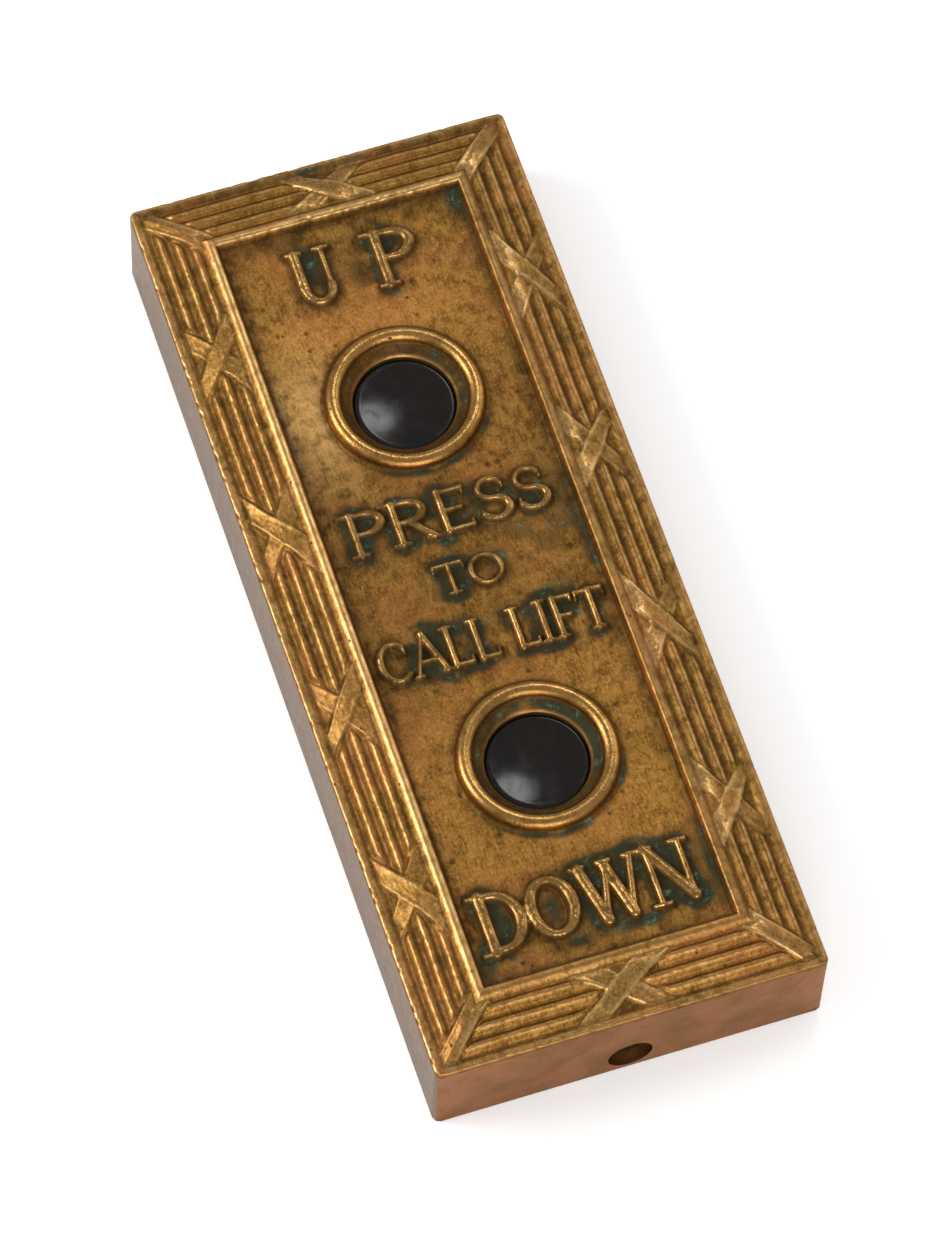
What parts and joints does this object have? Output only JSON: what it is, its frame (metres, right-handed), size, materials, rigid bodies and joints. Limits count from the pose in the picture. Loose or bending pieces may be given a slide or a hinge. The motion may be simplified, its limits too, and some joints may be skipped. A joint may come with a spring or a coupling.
{
  "type": "elevator call button panel",
  "caption": "Upright bronze elevator call panel with a reed-and-ribbon border and ringed, sprung up and down push buttons over a screwed wall base with their contacts.",
  "frame": {"origin": "centre of the back plane that lies on the wall", "axes": "+Z out of the face, +Y along the length towards the upper button, +X to the right seen from the front"},
  "size_m": [0.0572, 0.143, 0.0182],
  "materials": {
    "bronze": "aged cast bronze, brown patina, worn bright on the raised edges",
    "base_steel": "dull zinc-plated steel",
    "screw_steel": "darkened steel",
    "fibre": "dark red-brown vulcanised fibre",
    "bushing_rubber": "matt black rubber",
    "contact_bronze": "spring bronze",
    "contact_silver": "silver",
    "brass": "satin brass",
    "hard_rubber": "polished black hard rubber",
    "spring_steel": "bright spring wire"
  },
  "bodies": {
    "panel": {"faceplate": "bronze", "base_plate": "base_steel", "edge_screws": "screw_steel", "insulating_panel": "fibre", "panel_screws": "screw_steel", "wire_bushing": "bushing_rubber", "up_contact_strips": "contact_bronze", "down_contact_strips": "contact_bronze", "up_contact_tips": "contact_silver", "down_contact_tips": "contact_silver", "terminal_washers": "brass", "terminal_screws": "brass", "up_guide_bracket": "brass", "down_guide_bracket": "brass", "guide_screws": "screw_steel", "up_return_spring": "spring_steel", "down_return_spring": "spring_steel"},
    "up_button": {"up_button_cap": "hard_rubber", "up_stem": "brass", "up_contact_disc": "contact_bronze", "up_insulators": "fibre", "up_stem_nut": "brass"},
    "down_button": {"down_button_cap": "hard_rubber", "down_stem": "brass", "down_contact_disc": "contact_bronze", "down_insulators": "fibre", "down_stem_nut": "brass"}
  },
  "joints": [
    {"name": "up_button_press", "type": "slide", "parent": "panel", "child": "up_button", "axis": [0, 0, -1], "range_m": [0, 0.0015], "stiffness_N_per_m": 300, "springref_m": -0.004, "deforming": ["up_return_spring"]},
    {"name": "down_button_press", "type": "slide", "parent": "panel", "child": "down_button", "axis": [0, 0, -1], "range_m": [0, 0.0015], "stiffness_N_per_m": 300, "springref_m": -0.004, "deforming": ["down_return_spring"]}
  ]
}
